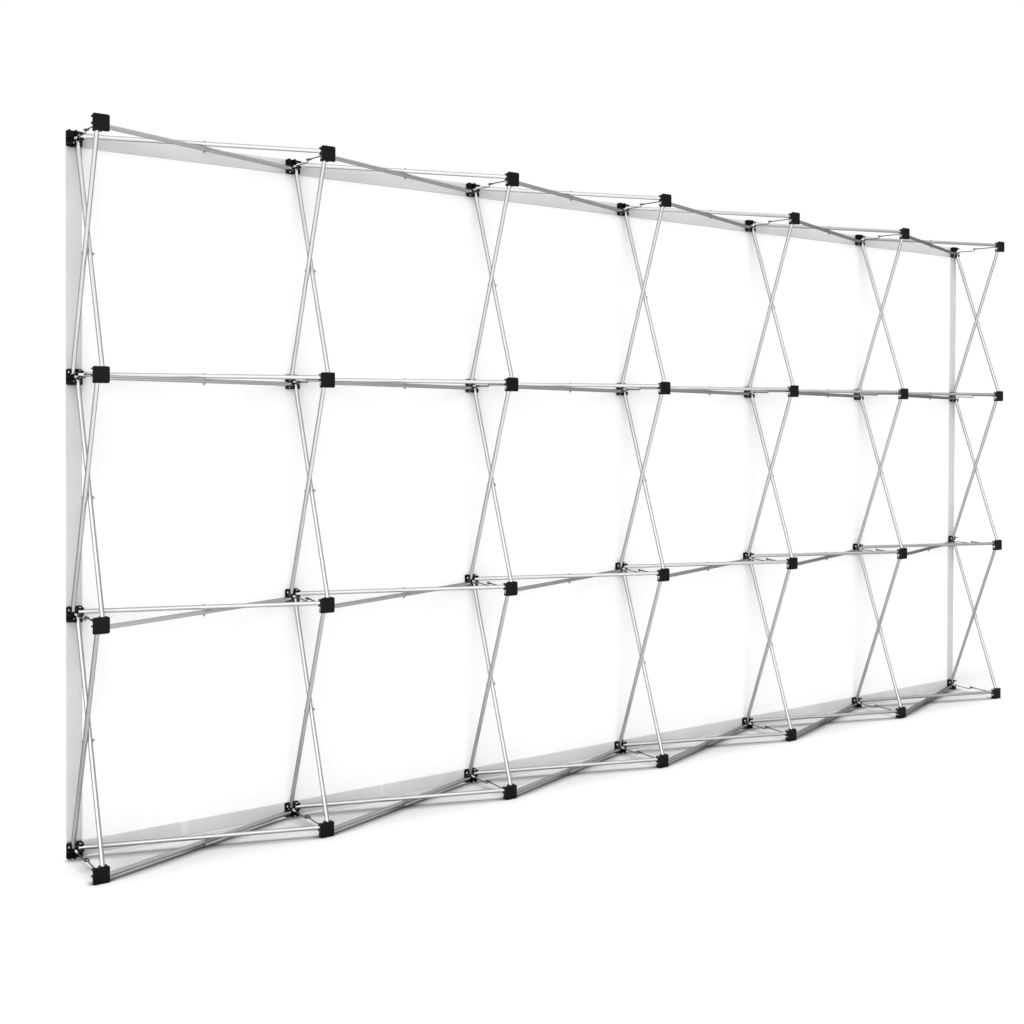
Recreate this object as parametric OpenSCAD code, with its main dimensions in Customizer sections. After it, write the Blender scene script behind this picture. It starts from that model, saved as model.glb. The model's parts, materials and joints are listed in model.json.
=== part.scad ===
// Pop-up banner wall: a frame of crossing tubes between back and front hubs, with a fabric banner in front.
// X runs along the wall, +Y is the back (the frame's side) and -Y the banner's face, +Z is up.
// The origin is on the floor, under the middle of the whole wall. Lengths are in millimetres.
// Columns are counted from the +X end and rows from the top.

/* [Wall grid] */
// Distance between hub centres along the wall
bay_w = 735; // [500:5:1000]
// Distance between hub centres up the wall
bay_h = 735; // [500:5:1000]
// Depth of the frame, from the back hubs' outer faces to the front hubs' outer faces
frame_depth = 275; // [240:1:320]

/* [Hubs] */
// Width and height of a hub's cap
hub_w = 50; // [46:1:60]
// Thickness of the cap's plate
cap_t = 4; // [3:0.5:5]
// Corner radius of the cap
cap_r = 6; // [3:0.5:8]
// Bevel round the cap's outer face
cap_bevel = 1; // [0.5:0.1:1.5]
// Thickness of the ears on both sides of a tube end
ear_t = 4; // [3:0.25:4.5]
// Depth of the ears, from the cap's outer face
ear_depth = 23; // [22:0.5:26]
// Rounding of the ears' free corners
ear_r = 4; // [1:0.5:5]
// Plastic left in an ear on the hub's inner side of a pin, from the pin's axis
ear_land = 5; // [4:0.25:5.5]
// Distance of the tube pivots from the hub's centre line
pivot_in = 14; // [14:0.25:16]
// Depth of the tube pivots and arm pivots below the cap's outer face
pivot_depth = 14; // [13:0.25:15]

/* [Tubes] */
// Outer diameter of the tubes
tube_d = 14; // [12:0.5:15]
// Wall thickness of the tubes
tube_wall = 1; // [0.8:0.1:1.5]
// Distance from a tube's pivot to the shoulder of its tip
tip_len = 20; // [17:0.5:26]
// Length of a tip's spigot inside the tube
spigot_len = 15; // [8:0.5:25]
// Gap between a tube tip and each ear
tip_side_gap = 1; // [0.5:0.25:1.25]
// Diameter of the pins through the ears
tube_pin_d = 4; // [3:0.25:5]
// Diameter of the pins' outer heads
pin_head_d = 7; // [6:0.5:8]
// Height of the pins' outer heads
pin_head_h = 1.5; // [1:0.25:2]
// Diameter of the pins' riveted inner ends
pin_tail_d = 6.5; // [5.5:0.25:7]
// Height of the pins' riveted inner ends
pin_tail_h = 1; // [0.5:0.25:1.5]

/* [Crossing bolts] */
// Thickness of the gap that the washer fills between two crossing tubes
cross_gap = 1.5; // [1:0.25:2.5]
// Diameter of the washer
washer_d = 11; // [9:0.5:13]
// Diameter of the crossing bolts
bolt_d = 5; // [4:0.25:6]
// Diameter of the bolts' domed heads
bolt_head_d = 8.5; // [7.5:0.25:11]
// Height of the bolts' domed heads
bolt_head_h = 3; // [2:0.25:4]
// Width of the nuts across their flats
nut_af = 8; // [7.5:0.25:10]
// Height of the nuts
nut_h = 4; // [3:0.25:5]
// Thread that stands out past each nut
bolt_tail = 3; // [1:0.25:3.5]

/* [Lock arms] */
// Diameter of the arms' wire
wire_d = 4; // [3:0.25:4.5]
// Diameter of the sleeve on each arm's root
sleeve_d = 6; // [5.5:0.25:7]
// Length of the sleeve, from the arm's pin
sleeve_len = 20; // [14:0.5:30]
// Depth of the wire inside its sleeve
wire_grip = 13; // [8:0.5:13]
// Diameter of the barrel round the arm's pin
barrel_d = 8; // [7:0.5:9]
// Diameter of the arm pins
arm_pin_d = 3; // [2.5:0.25:4]
// Thickness of each of the two lugs that hold an arm pin
lug_t = 2.5; // [2:0.25:3]
// Plastic of a lug, from the arm pin's axis
lug_r = 4.5; // [3.5:0.25:5.5]
// Distance from the back hub's outer face to the far end of the eye
eye_reach = 160; // [140:1:175]
// Outer length of the eye
eye_len = 28; // [20:0.5:40]
// Outer width of the eye
eye_w = 14; // [13:0.5:18]
// Height of the eye over the hub's centre line, and of that line over the hook's wire
arm_split = 4.5; // [4:0.25:6]
// Inner radius of the hook's bend
hook_bend_r = 3; // [2:0.25:4]
// Height of the hook's leg over the middle of its wire
hook_rise = 15.5; // [13:0.25:20]
// Gap between the hook's leg and the end of the eye
hook_gap = 0.8; // [0.6:0.1:1.5]

/* [Banner] */
// Thickness of the banner's fabric
sheet_t = 0.6; // [0.4:0.1:1.5]
// Width of the loop band round the banner's back edge
band_w = 50; // [30:1:80]
// Thickness of the loop band
band_t = 1; // [0.6:0.1:2]
// Width and height of the hook pads on the front hubs
pad_w = 38; // [20:0.5:42]
// Corner radius of the hook pads
pad_r = 3; // [1:0.5:8]
// Thickness of the hook pads
pad_t = 1.4; // [1:0.1:2.5]

/* [Hidden] */
cols = 7;
rows = 4;
$fn = 48;

// Clearances all round a turning pin, a fixed plug or pin, and a bolt in its hole
run_fit = 0.08;
plug_fit = 0.05;
hole_fit = 0.1;
// Clearances on one face: under a head or washer, and beside an arm's barrel and round its sleeve
face_gap = 0.05;
barrel_side_gap = 0.25;
sleeve_side_gap = 0.3;
// How far the parts of one solid reach into each other, and how far a cut runs past the face it opens
bite = 0.5;
cut = 1;

// Overall size, and the planes that the wall is built from
wall_w = (cols - 1) * bay_w + hub_w;
wall_h = (rows - 1) * bay_h + hub_w;
wall_depth = frame_depth + pad_t + band_t + sheet_t;
back_y = wall_depth / 2;
front_y = back_y - frame_depth;
mid_y = (back_y + front_y) / 2;
back_pivot_y = back_y - pivot_depth;
front_pivot_y = front_y + pivot_depth;
sheet_y = -wall_depth / 2;
band_y = sheet_y + sheet_t;

// Two crossing tubes lie this far to either side of the plane between them
tube_off = (tube_d + cross_gap) / 2;
row_run = bay_w - 2 * pivot_in;
column_run = bay_h - 2 * pivot_in;
depth_run = back_pivot_y - front_pivot_y;
row_len = norm([row_run, depth_run]);
column_len = norm([column_run, depth_run]);

// Loss of diameter over the height of a pin's outer head
pin_head_taper = 1;

// Ears: the free space between a pair, and where they begin
slot_w = tube_d + 2 * tip_side_gap;
ear_root = pivot_in - ear_land;
bore_d = tube_d - 2 * tube_wall;
tube_hole_d = bolt_d + 2 * hole_fit;

// Distance from the middle of a crossing to the underside of the bolt's head, and to the nut
cross_top = cross_gap / 2 + tube_d + face_gap;

// Lock arms: the clevis, and the two arms between their pins and the place where they meet
barrel_w = sleeve_d + 2 * sleeve_side_gap;
clevis_w = barrel_w + 2 * barrel_side_gap;
sleeve_bore_d = wire_d + 2 * plug_fit;
wire_root = sleeve_len - wire_grip;
eye_end_y = back_y - eye_reach;
eye_run = back_pivot_y - eye_end_y;
eye_tilt = atan(arm_split / (eye_run - eye_len / 2));
hook_target = eye_end_y + 1.5 * wire_d + hook_gap - front_pivot_y;
hook_tilt = atan(arm_split / hook_target);
hook_run = to_hundredth((hook_target - arm_split * tan(hook_tilt)) * cos(hook_tilt));
hook_turn_r = hook_bend_r + wire_d / 2;
eye_len_run = to_hundredth(eye_run / cos(eye_tilt));

// The straight and bent parts of a wire meet face to face, so their lengths are whole hundredths
function to_hundredth(x) = round(x * 100) / 100;
function col_x(i) = ((cols + 1) / 2 - i) * bay_w;
function row_z(k) = hub_w / 2 + (rows - k) * bay_h;

hub_nodes = [for (side = ["back", "front"], k = [1 : rows]) str(side, "_hubs_row_", k)];
row_tube_nodes = [for (k = [1 : rows], place = ["upper", "lower"]) str("row_", k, "_", place, "_tubes")];
column_tube_nodes = [
  for (i = [1 : cols], place = ["left", "right"]) str("column_", i, "_", place, "_tubes")
];
fixing_nodes = [
  "row_tube_tips", "column_tube_tips", "row_tube_pins", "column_tube_pins",
  "crossing_bolts", "crossing_nuts", "crossing_washers", "arm_pins"
];
arm_nodes = [
  for (kind = ["hook_arm", "eye_arm"], piece = ["wires", "sleeves"], k = [1 : rows])
    str(kind, "_", piece, "_row_", k)
];
banner_nodes = ["banner_sheet", "band_top", "band_bottom", "band_left", "band_right", "hook_pads"];

// Hub: drawn with its outer face in the XZ plane and everything else towards -Y

// One side of the cap in section, across the plate and its bevel
module cap_section(half) {
  polygon([
    [-half, -cap_t], [half, -cap_t], [half, -cap_bevel],
    [half - cap_bevel, 0], [cap_bevel - half, 0], [-half, -cap_bevel]
  ]);
}

// A plate with round corners whose outer edge is bevelled: two crossing slabs and four corner posts
module cap() {
  flat = hub_w - 2 * cap_r;
  for (turn = [0, 90])
    rotate([0, turn, 0])
      linear_extrude(height = flat, center = true) cap_section(hub_w / 2);
  for (sx = [-1, 1], sz = [-1, 1])
    translate([sx * flat / 2, 0, sz * flat / 2])
      rotate([-90, 0, 0])
        rotate_extrude()
          polygon([[0, -cap_t], [cap_r, -cap_t], [cap_r, -cap_bevel], [cap_r - cap_bevel, 0], [0, 0]]);
}

// Side view of an ear: across is the distance from the hub's centre, up is the depth below the outer face
module ear_profile() {
  root = cap_t - bite;
  translate([ear_root, root]) square([hub_w / 2 - ear_root, ear_depth - ear_r - root]);
  translate([ear_root + ear_r, root]) square([hub_w / 2 - ear_root - 2 * ear_r, ear_depth - root]);
  for (across = [ear_root + ear_r, hub_w / 2 - ear_r])
    translate([across, ear_depth - ear_r]) circle(r = ear_r);
}

// The pair of ears that holds the tube on the hub's upper side
module ear_pair() {
  for (side = [-1, 1])
    translate([-tube_off + side * (slot_w + ear_t) / 2, 0, 0])
      rotate([90, 0, 90])
        linear_extrude(height = ear_t, center = true)
          rotate(90) ear_profile();
}

// The two lugs in the middle of the hub that hold a lock arm's pin
module clevis() {
  for (side = [-1, 1])
    translate([side * (clevis_w + lug_t) / 2, 0, 0])
      rotate([0, 90, 0])
        linear_extrude(height = lug_t, center = true) {
          translate([-lug_r, -pivot_depth]) square([2 * lug_r, pivot_depth - cap_t + bite]);
          translate([0, -pivot_depth]) circle(r = lug_r);
        }
}

module hub() {
  difference() {
    union() {
      cap();
      for (turn = [0 : 90 : 270]) rotate([0, turn, 0]) ear_pair();
      clevis();
    }
    for (turn = [0 : 90 : 270])
      rotate([0, turn, 0])
        translate([-tube_off, -pivot_depth, pivot_in])
          rotate([0, 90, 0])
            cylinder(d = tube_pin_d + 2 * plug_fit, h = slot_w + 2 * (ear_t + cut), center = true);
    translate([0, -pivot_depth, 0])
      rotate([0, 90, 0])
        cylinder(d = arm_pin_d + 2 * plug_fit, h = clevis_w + 2 * (lug_t + cut), center = true);
  }
}

// Puts a piece that is drawn on the hub at the origin on the hub of column i and row k
module at_hub(side, i, k) {
  translate([col_x(i), side == "back" ? back_y : front_y, row_z(k)])
    rotate([0, 0, side == "back" ? 0 : 180])
      children();
}

module hub_row(side, k) {
  color("#191919")
    for (i = [1 : cols]) at_hub(side, i, k) hub();
}

// Tubes: drawn along +Z from the first pivot at the origin, with both pins along X

module tube(len) {
  difference() {
    translate([0, 0, tip_len]) cylinder(d = tube_d, h = len - 2 * tip_len);
    translate([0, 0, tip_len - cut]) cylinder(d = bore_d, h = len - 2 * (tip_len - cut));
    translate([0, 0, len / 2])
      rotate([0, 90, 0]) cylinder(d = tube_hole_d, h = tube_d + 2 * cut, center = true);
  }
}

// A tip has a round end about its pin, and a spigot in the tube
module tube_tip() {
  difference() {
    union() {
      intersection() {
        translate([0, 0, -tube_d / 2]) cylinder(d = tube_d, h = tip_len + tube_d / 2);
        union() {
          rotate([0, 90, 0]) cylinder(d = tube_d, h = tube_d + 2 * cut, center = true);
          translate([-tube_d, -tube_d, 0]) cube([2 * tube_d, 2 * tube_d, tip_len + cut]);
        }
      }
      translate([0, 0, tip_len - bite]) cylinder(d = bore_d - 2 * plug_fit, h = spigot_len + bite);
    }
    rotate([0, 90, 0]) cylinder(d = tube_pin_d + 2 * plug_fit, h = tube_d + 2 * cut, center = true);
  }
}

// A rivet through a pair of ears: its head is on the hub's outer side, its upset end on the inner side
module tube_pin() {
  reach = slot_w / 2 + ear_t + face_gap;
  pin_overlap = pin_tail_h / 2;
  rotate([0, 90, 0]) {
    cylinder(d = tube_pin_d, h = 2 * (reach + pin_overlap), center = true);
    translate([0, 0, reach]) cylinder(d = pin_tail_d, h = pin_tail_h);
    translate([0, 0, -reach - pin_head_h])
      cylinder(d1 = pin_head_d - pin_head_taper, d2 = pin_head_d, h = pin_head_h);
  }
}

// Row tubes run towards -X: the lower one from a back hub, the upper one from a front hub
module along_row(i, k, place) {
  from = place == "lower" ? back_pivot_y : front_pivot_y;
  to = place == "lower" ? front_pivot_y : back_pivot_y;
  height = place == "lower" ? -tube_off : tube_off;
  translate([col_x(i) - pivot_in, from, row_z(k) + height])
    rotate([0, 90, atan2(to - from, -row_run)])
      children();
}

// Column tubes run down: the left one from a back hub, the right one from a front hub, seen from behind
module along_column(i, k, place) {
  from = place == "left" ? back_pivot_y : front_pivot_y;
  to = place == "left" ? front_pivot_y : back_pivot_y;
  across = place == "left" ? tube_off : -tube_off;
  translate([col_x(i) + across, from, row_z(k) - pivot_in])
    rotate([atan2(from - to, -column_run), 0, 0])
      children();
}

module row_tubes(k, place) {
  color("silver")
    for (i = [1 : cols - 1]) along_row(i, k, place) tube(row_len);
}

module column_tubes(i, place) {
  color("silver")
    for (k = [1 : rows - 1]) along_column(i, k, place) tube(column_len);
}

// Both ends of a tube: the first child is drawn at the start, and turned end for end at the far pivot
module both_ends(len) {
  children();
  translate([0, 0, len]) rotate([180, 0, 0]) children();
}

module row_tube_tips() {
  color("gainsboro")
    for (k = [1 : rows], i = [1 : cols - 1], place = ["upper", "lower"])
      along_row(i, k, place) both_ends(row_len) tube_tip();
}

module column_tube_tips() {
  color("gainsboro")
    for (i = [1 : cols], k = [1 : rows - 1], place = ["left", "right"])
      along_column(i, k, place) both_ends(column_len) tube_tip();
}

// The pins sit on the hubs: every hub has one on each side where a tube is
module hub_pin(turn) {
  rotate([0, turn, 0]) translate([-tube_off, -pivot_depth, pivot_in]) tube_pin();
}

module row_tube_pins() {
  color("lightgray")
    for (side = ["back", "front"], k = [1 : rows], i = [1 : cols], turn = [90, 270]) {
      towards_plus_x = (turn == 90) == (side == "back");
      if (towards_plus_x ? i > 1 : i < cols) at_hub(side, i, k) hub_pin(turn);
    }
}

module column_tube_pins() {
  color("lightgray")
    for (side = ["back", "front"], k = [1 : rows], i = [1 : cols], turn = [0, 180])
      if (turn == 0 ? k > 1 : k < rows) at_hub(side, i, k) hub_pin(turn);
}

// Crossings: the bolt is drawn along Z through the middle of the gap between two tubes
module at_crossings() {
  for (k = [1 : rows], i = [1 : cols - 1])
    translate([col_x(i) - bay_w / 2, mid_y, row_z(k)]) children();
  for (i = [1 : cols], k = [1 : rows - 1])
    translate([col_x(i), mid_y, row_z(k) - bay_h / 2]) rotate([0, 90, 0]) children();
}

// Domed head: a cap cut from a ball that is as wide as the head at its foot
module bolt() {
  dome_r = (pow(bolt_head_d / 2, 2) + pow(bolt_head_h, 2)) / (2 * bolt_head_h);
  translate([0, 0, cross_top])
    intersection() {
      translate([0, 0, bolt_head_h - dome_r]) sphere(r = dome_r);
      cylinder(d = bolt_head_d + 2 * cut, h = bolt_head_h + cut);
    }
  translate([0, 0, -cross_top - nut_h - bolt_tail])
    cylinder(d = bolt_d, h = 2 * cross_top + nut_h + bolt_tail + bite);
}

module nut() {
  difference() {
    translate([0, 0, -cross_top - nut_h]) cylinder(d = nut_af / cos(30), h = nut_h, $fn = 6);
    translate([0, 0, -cross_top - nut_h - cut]) cylinder(d = bolt_d + 2 * plug_fit, h = nut_h + 2 * cut);
  }
}

module washer() {
  difference() {
    cylinder(d = washer_d, h = cross_gap - 2 * face_gap, center = true);
    cylinder(d = tube_hole_d, h = cross_gap + 2 * cut, center = true);
  }
}

module crossing_bolts() {
  color("gainsboro") at_crossings() bolt();
}

module crossing_nuts() {
  color("silver") at_crossings() nut();
}

module crossing_washers() {
  color("silver") at_crossings() washer();
}

// Lock arms: drawn along +Y from the pin at the origin, with the pin along X

module arm_pin() {
  rotate([0, 90, 0]) cylinder(d = arm_pin_d, h = clevis_w + 2 * lug_t, center = true);
}

module arm_pins() {
  color("silver")
    for (side = ["back", "front"], k = [1 : rows], i = [1 : cols])
      at_hub(side, i, k) translate([0, -pivot_depth, 0]) arm_pin();
}

// Barrel on the pin and a sleeve that grips the wire's root
module arm_sleeve() {
  difference() {
    union() {
      rotate([0, 90, 0]) cylinder(d = barrel_d, h = barrel_w, center = true);
      rotate([-90, 0, 0]) cylinder(d = sleeve_d, h = sleeve_len);
    }
    rotate([0, 90, 0]) cylinder(d = arm_pin_d + 2 * run_fit, h = barrel_w + 2 * cut, center = true);
    translate([0, wire_root - face_gap, 0])
      rotate([-90, 0, 0]) cylinder(d = sleeve_bore_d, h = wire_grip + cut);
  }
}

// Wire that turns up through a quarter ring into the hook's leg, which has a round end
module hook_wire() {
  straight_end = hook_run - hook_turn_r;
  translate([0, wire_root, 0]) rotate([-90, 0, 0]) cylinder(d = wire_d, h = straight_end - wire_root);
  translate([0, straight_end, hook_turn_r])
    rotate([0, 90, 0]) rotate_extrude(angle = 90) translate([hook_turn_r, 0]) circle(d = wire_d);
  translate([0, hook_run, hook_turn_r]) cylinder(d = wire_d, h = hook_rise - hook_turn_r - wire_d / 2);
  translate([0, hook_run, hook_rise - wire_d / 2]) sphere(d = wire_d);
}

// Wire that ends in a long flat ring
module eye_wire() {
  side = (eye_w - wire_d) / 2;
  first = eye_len_run - eye_len + eye_w / 2;
  last = eye_len_run - eye_w / 2;
  translate([0, wire_root, 0])
    rotate([-90, 0, 0]) cylinder(d = wire_d, h = first - side - wire_root);
  for (sx = [-1, 1])
    translate([sx * side, first, 0]) rotate([-90, 0, 0]) cylinder(d = wire_d, h = last - first);
  translate([0, last, 0]) rotate_extrude(angle = 180) translate([side, 0]) circle(d = wire_d);
  translate([0, first, 0])
    rotate([0, 0, 180]) rotate_extrude(angle = 180) translate([side, 0]) circle(d = wire_d);
}

module hook_arm_place(i, k) {
  translate([col_x(i), front_pivot_y, row_z(k)]) rotate([-hook_tilt, 0, 0]) children();
}

module eye_arm_place(i, k) {
  translate([col_x(i), back_pivot_y, row_z(k)]) rotate([0, 0, 180]) rotate([eye_tilt, 0, 0]) children();
}

module hook_arm_wires(k) {
  color("dimgray") for (i = [1 : cols]) hook_arm_place(i, k) hook_wire();
}

module hook_arm_sleeves(k) {
  color("white") for (i = [1 : cols]) hook_arm_place(i, k) arm_sleeve();
}

module eye_arm_wires(k) {
  color("dimgray") for (i = [1 : cols]) eye_arm_place(i, k) eye_wire();
}

module eye_arm_sleeves(k) {
  color("white") for (i = [1 : cols]) eye_arm_place(i, k) arm_sleeve();
}

// Banner: the sheet is the frontmost layer, with its loop band and the hubs' hook pads behind it
module banner_sheet() {
  color("white") translate([-wall_w / 2, sheet_y, 0]) cube([wall_w, sheet_t, wall_h]);
}

module band_across(z) {
  color("#dadada") translate([-wall_w / 2, band_y, z]) cube([wall_w, band_t, band_w]);
}

module band_up(x) {
  color("#dadada") translate([x, band_y, band_w]) cube([band_w, band_t, wall_h - 2 * band_w]);
}

module rounded_square(w, r) {
  square([w, w - 2 * r], center = true);
  square([w - 2 * r, w], center = true);
  for (sx = [-1, 1], sy = [-1, 1]) translate([sx, sy] * (w / 2 - r)) circle(r = r);
}

module hook_pads() {
  color("#2b2b2b")
    for (k = [1 : rows], i = [1 : cols])
      translate([col_x(i), front_y, row_z(k)])
        rotate([90, 0, 0]) linear_extrude(height = pad_t) rounded_square(pad_w, pad_r);
}

for (k = [1 : rows]) {
  hub_row("back", k);
  hub_row("front", k);
  row_tubes(k, "upper");
  row_tubes(k, "lower");
  hook_arm_wires(k);
  hook_arm_sleeves(k);
  eye_arm_wires(k);
  eye_arm_sleeves(k);
}
for (i = [1 : cols]) {
  column_tubes(i, "left");
  column_tubes(i, "right");
}
row_tube_tips();
column_tube_tips();
row_tube_pins();
column_tube_pins();
crossing_bolts();
crossing_nuts();
crossing_washers();
arm_pins();
banner_sheet();
band_across(wall_h - band_w);  // band_top
band_across(0);  // band_bottom
band_up(wall_w / 2 - band_w);  // band_left
band_up(-wall_w / 2);  // band_right
hook_pads();
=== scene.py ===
"""Finishes, cloth and studio of a pop-up banner wall, seen from behind.

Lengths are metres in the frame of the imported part: +X runs along the wall to the near end, +Y is the
side with the tubes, -Y the banner's face, +Z is up and the floor lies at zero.
"""

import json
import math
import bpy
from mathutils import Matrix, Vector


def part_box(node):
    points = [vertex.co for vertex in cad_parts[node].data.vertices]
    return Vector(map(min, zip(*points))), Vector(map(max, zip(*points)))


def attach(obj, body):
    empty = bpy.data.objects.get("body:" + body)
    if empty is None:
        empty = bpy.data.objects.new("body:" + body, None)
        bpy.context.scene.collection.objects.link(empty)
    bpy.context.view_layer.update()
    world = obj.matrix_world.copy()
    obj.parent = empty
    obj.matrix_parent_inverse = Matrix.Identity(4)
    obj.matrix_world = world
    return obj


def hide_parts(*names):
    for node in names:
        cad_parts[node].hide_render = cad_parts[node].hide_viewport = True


bl_info = {
    "name": "Banner Wall",
    "version": (1, 0, 0),
    "blender": (4, 5, 0),
    "location": "3D View > Sidebar > Banner Wall",
    "description": "Dresses the frame of a pop-up banner wall with its cloth, tapes, threads and finishes",
    "category": "Add Mesh",
}

import bpy
import numpy as np
from bpy.props import FloatProperty, FloatVectorProperty, PointerProperty
from mathutils import Matrix

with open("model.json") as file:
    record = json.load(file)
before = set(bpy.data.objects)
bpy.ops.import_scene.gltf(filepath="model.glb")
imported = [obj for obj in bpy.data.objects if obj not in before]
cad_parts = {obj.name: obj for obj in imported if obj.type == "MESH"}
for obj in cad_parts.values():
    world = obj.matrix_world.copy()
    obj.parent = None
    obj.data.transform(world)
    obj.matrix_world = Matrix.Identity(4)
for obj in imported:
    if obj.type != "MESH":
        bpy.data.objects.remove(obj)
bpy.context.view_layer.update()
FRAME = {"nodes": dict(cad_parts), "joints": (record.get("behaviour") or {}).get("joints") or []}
BODY = "frame"

# Places read from the frame: the cloth, its bands and pads, and the grid on which the hubs stand
SHEET_LOW, SHEET_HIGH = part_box("banner_sheet")
BAND_LOW, BAND_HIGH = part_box("band_left")
PAD_LOW, PAD_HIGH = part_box("hook_pads")
HUB_LOW, HUB_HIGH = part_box("front_hubs_row_1")
HUB_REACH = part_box("back_hubs_row_4")[1]
COLUMNS = 7
ROWS = 4
HUB_WIDTH = HUB_HIGH.z - HUB_LOW.z
BAY_X = (SHEET_HIGH.x - SHEET_LOW.x - HUB_WIDTH) / (COLUMNS - 1)
BAY_Z = (SHEET_HIGH.z - SHEET_LOW.z - HUB_WIDTH) / (ROWS - 1)
HUB_X = (np.arange(COLUMNS) - (COLUMNS - 1) / 2) * BAY_X
HUB_Z = HUB_WIDTH / 2 + np.arange(ROWS) * BAY_Z
BAND_WIDTH = BAND_HIGH.x - BAND_LOW.x
HALF_PAD = PAD_HIGH.x - HUB_X[-1]

# Every tube leans by the same angle between the pivots of the back and the front hubs
PIVOT_INSET = 0.014
PIVOT_Y = sorted({round(j["pos_m"][1], 4) for j in FRAME["joints"]})
TUBE_LEAN = math.atan2(PIVOT_Y[-1] - PIVOT_Y[0], BAY_X - 2 * PIVOT_INSET)


class BannerWallSizes(bpy.types.PropertyGroup):
    """Sizes of the soft pieces."""

    bay_dish: FloatProperty(
        name="Bay dish", description="How far the stretched cloth dips towards the frame in a bay",
        default=0.0006, min=0.0, max=0.01, unit="LENGTH")
    edge_curl: FloatProperty(
        name="Edge curl", description="How far the cloth's free edge turns in between two hubs",
        default=0.0006, min=0.0, max=0.01, unit="LENGTH")
    crease_height: FloatProperty(
        name="Tension crease", description="Height of the creases that run out of the cloth's corners",
        default=0.00015, min=0.0, max=0.003, unit="LENGTH")
    fold_height: FloatProperty(
        name="Fold height", description="Height of a crease that packing has left across a band",
        default=0.0006, min=0.0, max=0.005, unit="LENGTH")
    stitch_pitch: FloatProperty(
        name="Stitch pitch", description="Distance from one stitch to the next along a seam",
        default=0.006, min=0.003, max=0.02, unit="LENGTH")
    stitch_length: FloatProperty(
        name="Stitch length", description="Length of the thread that shows in one stitch",
        default=0.0042, min=0.001, max=0.01, unit="LENGTH")
    thread_width: FloatProperty(
        name="Thread width", description="Width of the sewing thread",
        default=0.0007, min=0.0002, max=0.002, unit="LENGTH")
    seam_inset: FloatProperty(
        name="Seam inset", description="Distance from the edge of the band to its row of stitches",
        default=0.003, min=0.001, max=0.01, unit="LENGTH")
    pad_crown: FloatProperty(
        name="Pad crown", description="How far the edge of a hook pad is rounded down",
        default=0.0005, min=0.0, max=0.001, unit="LENGTH")
    pad_corner: FloatProperty(
        name="Pad corner", description="Corner radius of a hook pad",
        default=0.003, min=0.001, max=0.01, unit="LENGTH")


class BannerWallColours(bpy.types.PropertyGroup):
    """Linear base colours of the finishes."""

    hub: FloatVectorProperty(
        name="Hub", description="Black moulded nylon of the hubs", subtype="COLOR",
        default=(0.004, 0.004, 0.0043), min=0.0, max=1.0)
    rubbed: FloatVectorProperty(
        name="Rubbed rim", description="Paler nylon where the rims of the hubs are rubbed", subtype="COLOR",
        default=(0.035, 0.035, 0.036), min=0.0, max=1.0)
    tube: FloatVectorProperty(
        name="Tube", description="Drawn and anodised aluminium of the tubes", subtype="COLOR",
        default=(0.58, 0.58, 0.585), min=0.0, max=1.0)
    tip: FloatVectorProperty(
        name="Tip", description="Machined aluminium of the tube tips", subtype="COLOR",
        default=(0.62, 0.62, 0.625), min=0.0, max=1.0)
    steel: FloatVectorProperty(
        name="Steel", description="Zinc plate on pins, bolts and nuts", subtype="COLOR",
        default=(0.38, 0.38, 0.385), min=0.0, max=1.0)
    wire: FloatVectorProperty(
        name="Wire", description="Dark plate on the wire of the hook arms", subtype="COLOR",
        default=(0.2, 0.2, 0.205), min=0.0, max=1.0)
    # The eye arms' wire is given a darker colour than the hook arms' wire
    eye_wire: FloatVectorProperty(
        name="Eye wire", description="Wire of the eye arms, darker than that of the hook arms", subtype="COLOR",
        default=(0.1, 0.1, 0.103), min=0.0, max=1.0)
    sleeve: FloatVectorProperty(
        name="Sleeve", description="Bright sleeve on the root of a lock arm", subtype="COLOR",
        default=(0.93, 0.93, 0.93), min=0.0, max=1.0)
    pin: FloatVectorProperty(
        name="Pin", description="Bright zinc plate on the pins of hubs and arms", subtype="COLOR",
        default=(0.75, 0.75, 0.755), min=0.0, max=1.0)
    washer: FloatVectorProperty(
        name="Washer", description="Natural nylon of the washers", subtype="COLOR",
        default=(0.62, 0.62, 0.61), min=0.0, max=1.0)
    cloth: FloatVectorProperty(
        name="Cloth", description="Unprinted white banner cloth", subtype="COLOR",
        default=(0.97, 0.97, 0.97), min=0.0, max=1.0)
    band: FloatVectorProperty(
        name="Band", description="Light grey loop tape round the banner's back", subtype="COLOR",
        default=(0.66, 0.66, 0.665), min=0.0, max=1.0)
    pad: FloatVectorProperty(
        name="Pad", description="Black hook tape on the front hubs", subtype="COLOR",
        default=(0.012, 0.012, 0.012), min=0.0, max=1.0)
    floor: FloatVectorProperty(
        name="Floor", description="Pale studio floor", subtype="COLOR",
        default=(0.58, 0.58, 0.58), min=0.0, max=1.0)


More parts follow.
